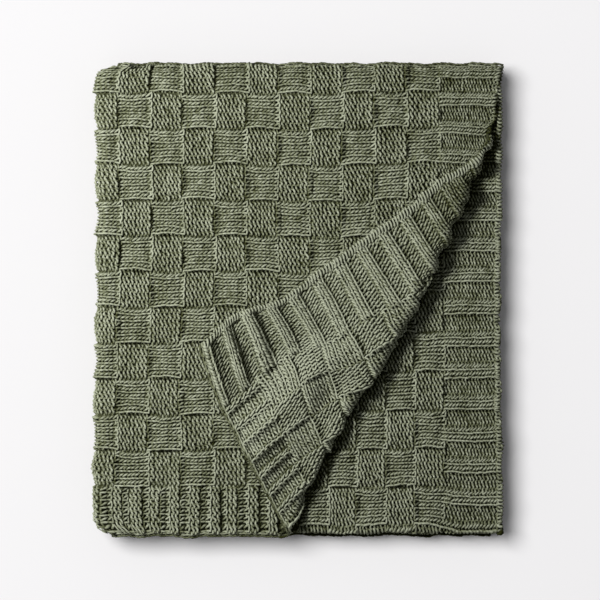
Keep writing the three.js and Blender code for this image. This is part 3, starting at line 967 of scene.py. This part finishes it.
def core_faces(s, v):
    """Heights of the back and front of the cloth that the stitches stand on."""
    past = past_crease(s, v)
    turned = grown(past - back_from(v), CORE_TURN_BLEND)
    on_top = (s <= LENGTH_MARKS[1]) & (v <= WIDTH_MARKS[1])
    front = ((s <= LENGTH_MARKS[2]) & (v <= WIDTH_MARKS[2])) * np.where(on_top, 1 - turned, 1.0)
    back = np.where(on_top, turned, np.where(core_on_under(s, v), grown(past, CORE_BARED), 0.0))
    far_fold = round_fold(v, WIDTH_MARKS, 1)
    near_fold = round_fold(v, WIDTH_MARKS, 3)
    left_fold = round_fold(s, LENGTH_MARKS, 5) * (v <= WIDTH_MARKS[2])
    right_fold = round_fold(s, LENGTH_MARKS, 3) * (v >= WIDTH_MARKS[3])
    front = np.maximum(front, np.maximum(far_fold, left_fold))
    back = np.maximum(back, np.maximum(near_fold, right_fold))
    low = -HALF_THICKNESS + CORE_SINK * back
    high = HALF_THICKNESS - CORE_SINK * front
    return low, np.maximum(high, low + CORE_LEAST)


def core_relief(s, v):
    """The relief that the cloth shares with the stitches over it."""
    u = np.where(s > LENGTH_MARKS[1], LENGTH_MARKS[1] + (s - LENGTH_MARKS[1]) * OUTER_WAY, s)
    top = top_relief(u, v - top_swell(u, v)) * top_fade(s, v)
    under = -under_relief(s, v - under_swell(s, v)) * bared_share(past_crease(s, v), v)
    on_top = (s <= LENGTH_MARKS[2]) & (v <= WIDTH_MARKS[2])
    return np.where(on_top, top, np.where(core_on_under(s, v), under, 0.0))


def cloth_mesh(name):
    """A thin closed sheet on the folds, with an even UV map of the flat cloth in metres."""
    lines_s = grid_lines(LENGTH_MARKS, CORE_LENGTHWISE, CORE_TURN_STEPS[0])
    lines_v = grid_lines(WIDTH_MARKS, CORE_CROSSWISE, CORE_TURN_STEPS[1])
    s, v = np.meshgrid(lines_s, lines_v, indexing="ij")
    low, high = core_faces(s, v)
    relief = core_relief(s, v)
    back = place(s, v, low + relief).reshape(-1, 3)
    front = place(s, v, high + relief).reshape(-1, 3)
    rows, columns = s.shape
    number = np.arange(rows * columns).reshape(rows, columns)
    a, b, c, d = number[:-1, :-1], number[1:, :-1], number[1:, 1:], number[:-1, 1:]
    upper = np.stack((a, d, c, b), axis=-1).reshape(-1, 4) + rows * columns
    lower = np.stack((a, b, c, d), axis=-1).reshape(-1, 4)
    rim = np.concatenate((number[:, 0], number[-1, 1:], number[-2::-1, -1], number[0, -2::-1]))
    i, j = rim[:-1], rim[1:]
    walls = np.stack((j, i, i + rows * columns, j + rows * columns), axis=-1)
    faces = np.concatenate((upper, lower, walls))
    mesh = bpy.data.meshes.new(name)
    mesh.from_pydata(np.concatenate((back, front)).tolist(), [], faces.tolist())
    flat = np.stack((s, v), axis=-1).reshape(-1, 2)
    layer = mesh.uv_layers.new(name="flat_cloth")
    layer.data.foreach_set("uv", np.concatenate((flat, flat))[faces.ravel()].ravel())
    mesh.shade_smooth()
    return mesh


# Edges and folds

def chain_links(count, pitch):
    """Links of a chain, each one a row: a loop that reaches through into the next."""
    tau = np.linspace(0.0, 1.0, LINK_STOPS)[None, :]
    number = np.arange(count)[:, None]
    out = np.sin(math.pi * tau)
    along = pitch * (number + LINK_START + LINK_REACH * out)
    across = -LINK_WIDTH / 2 * np.cos(math.pi * tau) * (LINK_NECK + (1 - LINK_NECK) * out)
    return np.broadcast_arrays(along, across, -LINK_DIP * np.cos(4 * math.pi * tau))


def selvedge(yarn, edge, outward, seed):
    """Chain of edge stitches along the whole side of the cloth."""
    rng = np.random.default_rng(seed)
    pitch = LINK_COURSES * TOP_COLUMN / CHECK_COURSES
    count = int(FLAT_LENGTH / pitch)
    along, across, lift = chain_links(count, pitch)
    drift = rng.normal(0.0, LINK_DRIFT, (count, 1))
    back = back_shows(np.clip(along, 0, FLAT_LENGTH), np.full_like(along, max(edge, 0.0)))
    lean = LINK_LEAN * (1 - 2 * back)
    side = np.sign(lean)
    v = edge + outward * (LINK_OUTSET + across * np.sin(np.abs(lean) + LINK_SPREAD) + lift) + drift
    level = yarn.rise * side
    w = level - across * np.cos(lean) * side * LINK_RISE
    rings, distance = tube_rings(along, v, w, yarn.radius, yarn.edge_sides)
    points = place(rings[..., 0], rings[..., 1], rings[..., 2])
    kept = np.ones((count, LINK_STOPS - 1), dtype=bool)
    tone = np.broadcast_to(rng.normal(LINK_TONE, 1.0, (count, 1)), along.shape)
    return points, kept, distance, shaded(tone, rings, level, side[..., None], yarn)


def cast_off(yarn, edge, outward, ribs, seed):
    """The closing loops of an end: one yarn wound round the edge, as high as the ribs make it."""
    rng = np.random.default_rng(seed)
    pitch = FLAT_WIDTH / CAST_OFF_TURNS
    turns = np.arange(CAST_OFF_TURNS * EDGE_STOPS + 1)[None, :] / EDGE_STOPS
    whole_turns = np.arange(CAST_OFF_TURNS + 1)
    lump = np.interp(turns, whole_turns, rng.normal(1.0, EDGE_UNEVENNESS, len(whole_turns)))
    places = np.arange(0, CAST_OFF_TURNS + DRIFT_TURNS, DRIFT_TURNS)
    drift = np.interp(turns, places, rng.normal(0.0, EDGE_DRIFT, len(places)))
    turn = 2 * math.pi * turns
    along = pitch * turns + EDGE_SLANT * np.sin(turn)
    station = np.full_like(along, max(edge, 0.0))
    back = back_shows(station, np.clip(along, 0, FLAT_WIDTH))
    face = 1 - 2 * back
    under = is_under(station, along)
    turned = back * ~under
    height = ribs * np.where(under, rib_wave(along, UNDER_RIBS), top_ribs(along))
    level = height + yarn.rise * face
    lump = lump * (1 + CORNER_EDGE_SWELL * turned)
    s = edge + outward * (drift - EDGE_INSET - EDGE_HALF_WIDTH * lump * np.cos(turn))
    w = level + EDGE_HALF_HEIGHT * lump * np.sin(turn) * face
    rings, distance = tube_rings(s, along, w, yarn.radius, yarn.edge_sides)
    points = place(rings[..., 0], rings[..., 1], rings[..., 2])
    kept = np.ones((1, CAST_OFF_TURNS * EDGE_STOPS), dtype=bool)
    tones = np.repeat(rng.normal(EDGE_TONE, 1.0, len(whole_turns)), EDGE_STOPS)
    # The turned corner's painted light goes on round its edge, which is lighter still by
    # CORNER_EDGE_TONE
    tone = tones[None, : along.shape[1]] + (yarn.corner_painted_light + CORNER_EDGE_TONE) * turned
    return points, kept, distance, shaded(tone, rings, level, face[..., None], yarn)


def strip_knitting(yarn, centre, pitch, wale_at, wales, side, station_of, seed):
    """A strip of checks round a fold of the pile. side says which face shows."""
    courses = len(centre)
    column = np.floor(centre / TOP_COLUMN)[:, None]
    row = (np.arange(wales) // CHECK_WALES)[None, :]
    signs = np.where((column + row) % 2 == 0, 1.0, -1.0)
    noise = yarn_noise(yarn, courses, wales, seed)
    pitches = np.full(courses, pitch)
    u, v, w, tone = knit_courses(yarn, centre, pitches, wale_at, signs, side, 0, noise)
    level = np.full_like(w, side * yarn.rise)
    rings, distance = tube_rings(u, v, w + level, yarn.radius, yarn.edge_sides)
    tone = shaded(tone, rings, level, side, yarn)
    points = place(station_of(rings[..., 0]), rings[..., 1], rings[..., 2])
    return points, np.ones((courses, wales), dtype=bool), distance, tone


def turn_strip(yarn, mark, first_v, side, seed):
    """Courses round a left or right fold of the bundle."""
    turn = LENGTH_MARKS[2] - LENGTH_MARKS[1]
    outer = turn * OUTER_WAY
    pitch = outer / SIDE_TURN_COURSES
    centre = (np.arange(SIDE_STRIP_COURSES) - 0.5) * pitch
    spare = SIDE_STRIP_SPARE
    wale_pitch = (WIDTH_MARKS[1] + SIDE_STRIP_EXCESS) / SIDE_STRIP_WALES

    def station_of(u):
        stations = (mark - spare, mark, mark + turn, mark + turn + spare)
        return np.interp(u, (-spare, 0, outer, outer + spare), stations)

    def wale_at(wale, u):
        return first_v + wale * wale_pitch

    return strip_knitting(yarn, centre, pitch, wale_at, SIDE_STRIP_WALES, side, station_of, seed)


def edge_strip(yarn, mark, first_s, side, seed):
    """Two wales along a near or far fold, through the plies from first_s on."""
    pitch = TOP_COLUMN / CHECK_COURSES
    courses = int((FLAT_LENGTH - first_s) / pitch)
    centre = first_s + (np.arange(courses) + 0.5) * pitch
    middle = mark + (WIDTH_MARKS[2] - WIDTH_MARKS[1]) / 2

    def wale_at(wale, u):
        return middle + (wale - EDGE_STRIP_WALES / 2) * TOP_ROW / CHECK_WALES

    return strip_knitting(yarn, centre, pitch, wale_at, EDGE_STRIP_WALES, side, lambda u: u, seed)


# Materials

def start_material(name, roughness, specular):
    material = bpy.data.materials.new(name)
    material.use_nodes = True
    shader = material.node_tree.nodes["Principled BSDF"]
    shader.inputs["Roughness"].default_value = roughness
    shader.inputs["Specular IOR Level"].default_value = specular
    return material, material.node_tree, shader


def add_node(tree, kind, **settings):
    node = tree.nodes.new(kind)
    for name, value in settings.items():
        setattr(node, name, value)
    return node


def math_node(tree, operation, *values):
    """A sum or the like of numbers and other nodes' outputs."""
    node = add_node(tree, "ShaderNodeMath", operation=operation)
    for socket, value in zip(node.inputs, values):
        if isinstance(value, (int, float)):
            socket.default_value = value
        else:
            tree.links.new(value, socket)
    return node.outputs[0]


def weighted_sum(tree, total, *parts):
    """Adds outputs to a number or an output, each one times its own weight."""
    for output, weight in parts:
        total = math_node(tree, "MULTIPLY_ADD", output, weight, total)
    return total


def wave_node(tree, place_in_wave, waves):
    """A sine that goes through so many waves for each unit of its input."""
    return math_node(tree, "SINE", math_node(tree, "MULTIPLY", place_in_wave, 2 * math.pi * waves))


def surface_map(tree, name):
    """The two coordinates of a UV map."""
    uv = add_node(tree, "ShaderNodeUVMap", uv_map=name)
    parts = add_node(tree, "ShaderNodeSeparateXYZ")
    tree.links.new(uv.outputs[0], parts.inputs[0])
    return parts.outputs[0], parts.outputs[1]


def noise_node(tree, scale, detail):
    """Noise on Object coordinates."""
    spots = add_node(tree, "ShaderNodeTexCoord")
    noise = add_node(tree, "ShaderNodeTexNoise")
    noise.inputs["Scale"].default_value = scale
    noise.inputs["Detail"].default_value = detail
    tree.links.new(spots.outputs["Object"], noise.inputs["Vector"])
    return noise.outputs["Fac"]


def colour_by(tree, shader, level, stops):
    """Colours the shader by a level between 0 and 1. stops is a colour for each of some levels."""
    ramp = add_node(tree, "ShaderNodeValToRGB")
    elements = ramp.color_ramp.elements
    while len(elements) < len(stops):
        elements.new(0.5)
    for element, (place_on_ramp, colour) in zip(elements, stops):
        element.position = place_on_ramp
        element.color = (*colour, 1.0)
    tree.links.new(level, ramp.inputs["Fac"])
    tree.links.new(ramp.outputs["Color"], shader.inputs["Base Color"])


def bump_by(tree, shader, height, strength, distance):
    bump = add_node(tree, "ShaderNodeBump")
    bump.inputs["Strength"].default_value = strength
    bump.inputs["Distance"].default_value = distance
    tree.links.new(height, bump.inputs["Height"])
    tree.links.new(bump.outputs["Normal"], shader.inputs["Normal"])


def yarn_material(colours):
    """Plied matt yarn: tones of green, with painted shade and light, the twist of its two plies and
    loose fibres.
    """
    material, tree, shader = start_material("olive_yarn", roughness=0.88, specular=0.03)
    shader.inputs["Sheen Weight"].default_value = colours.sheen
    shader.inputs["Sheen Roughness"].default_value = 0.45
    shader.inputs["Sheen Tint"].default_value = (0.8, 0.85, 0.66, 1.0)
    along, around = surface_map(tree, "along_yarn")
    twist = weighted_sum(tree, around, (along, 1 / colours.twist_length))
    plies = wave_node(tree, twist, 2)
    fibres = noise_node(tree, scale=900.0, detail=3.0)
    clouds = noise_node(tree, scale=35.0, detail=2.0)
    tone = add_node(tree, "ShaderNodeAttribute", attribute_name="tone").outputs["Fac"]
    level = weighted_sum(tree, -0.12, (tone, 0.10), (clouds, 0.3), (fibres, 0.25), (plies, 0.10))
    colour_by(tree, shader, level, ((0.0, colours.dark), (0.4, colours.middle), (1.0, colours.light)))
    height = weighted_sum(tree, plies, (fibres, 0.5))
    bump_by(tree, shader, height, strength=0.6, distance=0.12 * MM)
    return material


def cloth_material(colours):
    """The knitting seen deep between the stitches and on the underside, dark as painted shade."""
    material, tree, shader = start_material("olive_knit", roughness=0.95, specular=0.03)
    along, across = surface_map(tree, "flat_cloth")
    course = math_node(tree, "MULTIPLY", along, CHECK_COURSES / TOP_COLUMN)
    wale = math_node(tree, "MULTIPLY", across, CHECK_WALES / TOP_ROW)
    leg = math_node(tree, "PINGPONG", math_node(tree, "MULTIPLY", wale, 2.0), 1.0)
    strokes = wave_node(tree, weighted_sum(tree, course, (leg, 0.5)), 1)
    rows = wave_node(tree, wale, 2)
    fibres = noise_node(tree, scale=700.0, detail=2.0)
    height = weighted_sum(tree, strokes, (rows, 0.7), (fibres, 0.6))
    level = weighted_sum(tree, 0.45, (height, 0.22))
    shade = tuple(SHADE_IN_CLOTH * part for part in colours.middle)
    colour_by(tree, shader, level, ((0.0, colours.dark), (1.0, shade)))
    bump_by(tree, shader, height, strength=1.0, distance=0.5 * MM)
    return material


def floor_material(colour):
    material, _, shader = start_material("pale_floor", roughness=0.9, specular=0.1)
    shader.inputs["Base Color"].default_value = (*colour, 1.0)
    return material


def olive_yarn():
    """The one yarn that every stitch is made of."""
    return bpy.data.materials.get("olive_yarn") or yarn_material(bpy.context.scene.throw_colours)


# What a user would change

class ThrowYarn(PropertyGroup):
    radius: FloatProperty(
        name="Radius", description="Radius of the yarn", default=1.0 * MM, unit="LENGTH", precision=5
    )
    sides: IntProperty(name="Sides", description="Sides of the yarn's section", default=5, min=3)
    edge_sides: IntProperty(
        name="Edge Sides", description="Sides of the yarn's section at edges and folds", default=4, min=3
    )
    loop_height: FloatProperty(
        name="Loop Height", description="Half the height of a loop, in courses", default=0.73
    )
    knit_bulge: FloatProperty(
        name="Knit Bulge", description="How far a knit loop widens to its head, in wales", default=0.33
    )
    purl_bulge: FloatProperty(
        name="Purl Bulge", description="How far a purl loop widens to its head, in wales", default=0.2
    )
    lean: FloatProperty(
        name="Lean", description="How far the twist leans a knit stitch, in wales", default=0.13
    )
    slant: FloatProperty(
        name="Slant", description="How far the twist tilts a purl stitch, in courses", default=0.25
    )
    # Painted light on the turned corner
    corner_painted_light: FloatProperty(
        name="Corner Tone", description="How much lighter the turned corner's yarn is", default=2.8
    )
    # Painted highlight on the lit side of the corner's ridge
    ridge_painted_highlight: FloatProperty(
        name="Ridge Tone", description="How much lighter the corner's soft ridge is", default=3.4
    )
    # Painted light on the ply under the corner
    under_painted_light: FloatProperty(
        name="Under Tone", description="How much lighter the ply under the corner is", default=1.0
    )
    # Painted shadow on the second ply beside the roll
    roll_shading: FloatProperty(
        name="Roll Shading", description="How much darker the second ply is beside the roll", default=6.0
    )
    purl_tone: FloatProperty(
        name="Purl Tone", description="How much lighter the bumps of a purl stitch look", default=0.4
    )
    depth: FloatProperty(
        name="Depth", description="How far a stitch dips in and out", default=1.3 * MM, unit="LENGTH"
    )
    rise: FloatProperty(
        name="Rise", description="Height of the stitches over the ply", default=0.5 * MM, unit="LENGTH"
    )
    unevenness: FloatProperty(
        name="Unevenness", description="How uneven the stitches are", default=0.3 * MM, unit="LENGTH"
    )
    # Painted shade deep in the knitting and painted light on the tops of the yarn
    shading: FloatProperty(
        name="Shading", description="How much darker the yarn is deep in the knitting", default=7.0
    )
    # Painted shade in the valleys of the relief and painted light on its crests
    valley_shading: FloatProperty(
        name="Valley Shading", description="How much darker each millimetre down is", default=0.45
    )


class ThrowColours(PropertyGroup):
    # Painted shade takes the yarn's tone towards Dark, painted light towards Light
    dark: FloatVectorProperty(
        name="Dark", description="Tone deep in the yarn", subtype="COLOR", default=(0.019, 0.021, 0.004)
    )
    middle: FloatVectorProperty(
        name="Middle", description="Tone of the yarn", subtype="COLOR", default=(0.113, 0.122, 0.070)
    )
    light: FloatVectorProperty(
        name="Light", description="Tone on top of the yarn", subtype="COLOR", default=(0.27, 0.286, 0.21)
    )
    sheen: FloatProperty(name="Sheen", description="Soft gloss of loose fibres", default=0.03)
    twist_length: FloatProperty(
        name="Twist Length", description="Length of a turn of the plies", default=7.0 * MM, unit="LENGTH"
    )


class ThrowStage(PropertyGroup):
    floor: FloatVectorProperty(
        name="Floor", description="Colour of the surface", subtype="COLOR", default=(0.80, 0.79, 0.795)
    )
    window_power: FloatProperty(
        name="Window Power", description="Power of the light on the floor", default=400.0, unit="POWER"
    )
    throw_power: FloatProperty(
        name="Throw Power", description="Power of the light on the throw", default=23.7, unit="POWER"
    )
    fill: FloatProperty(name="Fill", description="Strength of the light from all round", default=0.21)
    view_height: FloatProperty(
        name="View Height", description="Height of the camera", default=3.0, unit="LENGTH"
    )
    view_width: FloatProperty(
        name="View Width", description="Width that the picture shows", default=552 * MM, unit="LENGTH"
    )


# One operator for each group of pieces

def build_piece(name, parts):
    """Joins parts, which keep whole stitches or single stretches of yarn, into one piece."""
    mesh = YarnMesh()
    for points, kept, distance, tone in parts:
        per_stitch = kept.shape[1] != points.shape[1] - 1
        mesh.add(points, np.repeat(kept, STOPS, axis=1) if per_stitch else kept, distance, tone)
    mesh.make(name, olive_yarn())


class THROW_OT_cloth(Operator):
    """Folds the cloth that the stitches stand on"""
    bl_idname = "throw.cloth"
    bl_label = "Folded Cloth"

    def execute(self, context):
        mesh = cloth_mesh("cloth")
        mesh.materials.append(cloth_material(context.scene.throw_colours))
        cloth = bpy.data.objects.new("cloth", mesh)
        context.scene.collection.objects.link(cloth)
        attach(cloth, "root")
        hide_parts("throw")
        return {"FINISHED"}


class THROW_OT_top_stitches(Operator):
    """Knits the top ply, its left fold and its turned corner"""
    bl_idname = "throw.top_stitches"
    bl_label = "Top Stitches"

    def execute(self, context):
        points, front, turned, distance, tone = top_knitting(context.scene.throw_yarn)
        for band in range(TOP_BANDS):
            rows = slice(band * len(front) // TOP_BANDS, (band + 1) * len(front) // TOP_BANDS)
            part = (points[rows], front[rows], distance[rows], tone[rows])
            build_piece(f"top_stitches_{band + 1}", [part])
        build_piece("corner_stitches", [(points, turned, distance, tone)])
        return {"FINISHED"}


class THROW_OT_under_stitches(Operator):
    """Knits the part of the second ply that the turned corner bares"""
    bl_idname = "throw.under_stitches"
    bl_label = "Under Stitches"

    def execute(self, context):
        build_piece("under_stitches", [under_knitting(context.scene.throw_yarn)])
        return {"FINISHED"}


class THROW_OT_fold_stitches(Operator):
    """Knits the folds that show at the sides of the packet"""
    bl_idname = "throw.fold_stitches"
    bl_label = "Fold Stitches"

    def execute(self, context):
        yarn = context.scene.throw_yarn
        sides = [
            turn_strip(yarn, LENGTH_MARKS[5], 0.0, side=1, seed=31),
            turn_strip(yarn, LENGTH_MARKS[3], WIDTH_MARKS[4], side=-1, seed=32),
        ]
        edges = [
            edge_strip(yarn, WIDTH_MARKS[1], LENGTH_MARKS[2], side=1, seed=33),
            edge_strip(yarn, WIDTH_MARKS[3], LENGTH_MARKS[1] + EDGE_STRIP_START, side=-1, seed=34),
        ]
        build_piece("side_fold_stitches", sides)
        build_piece("edge_fold_stitches", edges)
        return {"FINISHED"}


class THROW_OT_edges(Operator):
    """Finishes the selvedges and the cast-off ends"""
    bl_idname = "throw.edges"
    bl_label = "Edges"

    def execute(self, context):
        yarn = context.scene.throw_yarn
        sides = [
            selvedge(yarn, 0.0, outward=-1, seed=41),
            selvedge(yarn, FLAT_WIDTH, outward=1, seed=42),
        ]
        ends = [
            cast_off(yarn, 0.0, outward=-1, ribs=RIB_RELIEF, seed=43),
            cast_off(yarn, FLAT_LENGTH, outward=1, ribs=0.0, seed=44),
        ]
        build_piece("selvedges", sides)
        build_piece("cast_off_ends", ends)
        return {"FINISHED"}


class THROW_OT_stage(Operator):
    """Sets the pale floor, the lights and the camera above the throw"""
    bl_idname = "throw.stage"
    bl_label = "Stage"

    def execute(self, context):
        stage = context.scene.throw_stage
        bpy.ops.object.select_all(action="DESELECT")
        bpy.ops.mesh.primitive_plane_add(size=FLOOR_SIZE)
        floor = context.object
        floor.name = "floor"
        floor.data.materials.append(floor_material(stage.floor))
        floor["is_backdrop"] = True
        add_light("window_light", WINDOW_LIGHT, stage.window_power, [floor])
        add_light("throw_light", THROW_LIGHT, stage.throw_power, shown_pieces())
        world = bpy.data.worlds.new("studio")
        world.use_nodes = True
        background = world.node_tree.nodes["Background"]
        background.inputs["Color"].default_value = FILL_COLOUR
        background.inputs["Strength"].default_value = stage.fill
        context.scene.world = world
        context.scene.view_settings.view_transform = "Standard"
        add_camera(stage)
        return {"FINISHED"}


def add_light(name, shape, power, receivers):
    """A round light that looks at the throw and lights its receivers alone. All things shade them."""
    direction, distance, size = shape
    towards = Vector(direction).normalized()
    bpy.ops.object.light_add(type="AREA", location=towards * distance)
    light = bpy.context.object
    light.name = name
    light.data.shape = "DISK"
    light.data.size = size
    light.data.energy = power
    light.rotation_euler = towards.to_track_quat("Z", "Y").to_euler()
    lit = bpy.data.collections.new(name)
    for receiver in receivers:
        lit.objects.link(receiver)
    light.light_linking.receiver_collection = lit


def add_camera(stage):
    """A camera that looks straight down, as in the photo."""
    bpy.ops.object.camera_add(location=(0.0, PICTURE_MIDDLE_Y, VIEWED_LEVEL + stage.view_height))
    camera = bpy.context.object
    camera.name = "camera"
    camera.data.angle = 2 * math.atan(stage.view_width / 2 / stage.view_height)
    camera.rotation_euler = (0.0, 0.0, 0.0)
    bpy.context.scene.camera = camera


class THROW_PT_panel(Panel):
    """Lists the throw's settings and its operators"""
    bl_label = "Folded Knit Throw"
    bl_idname = "THROW_PT_panel"
    bl_space_type = "VIEW_3D"
    bl_region_type = "UI"
    bl_category = "Throw"

    def draw(self, context):
        layout = self.layout
        for title, group in GROUPS:
            layout.label(text=title)
            settings = getattr(context.scene, group)
            for name in settings.__annotations__:
                layout.prop(settings, name)
        for operator in OPERATORS:
            layout.operator(operator.bl_idname)


OPERATORS = (
    THROW_OT_cloth,
    THROW_OT_top_stitches,
    THROW_OT_under_stitches,
    THROW_OT_fold_stitches,
    THROW_OT_edges,
    THROW_OT_stage,
)
GROUPS = (("Yarn", "throw_yarn"), ("Colours", "throw_colours"), ("Stage", "throw_stage"))
CLASSES = (ThrowYarn, ThrowColours, ThrowStage, *OPERATORS, THROW_PT_panel)


def register():
    for cls in CLASSES:
        bpy.utils.register_class(cls)
    for (_, group), settings in zip(GROUPS, CLASSES):
        setattr(bpy.types.Scene, group, PointerProperty(type=settings))


def unregister():
    for _, group in GROUPS:
        delattr(bpy.types.Scene, group)
    for cls in reversed(CLASSES):
        bpy.utils.unregister_class(cls)


def main():
    register()
    bpy.ops.throw.cloth()
    bpy.ops.throw.top_stitches()
    bpy.ops.throw.under_stitches()
    bpy.ops.throw.fold_stitches()
    bpy.ops.throw.edges()
    bpy.ops.throw.stage()


if __name__ == "__main__":
    main()
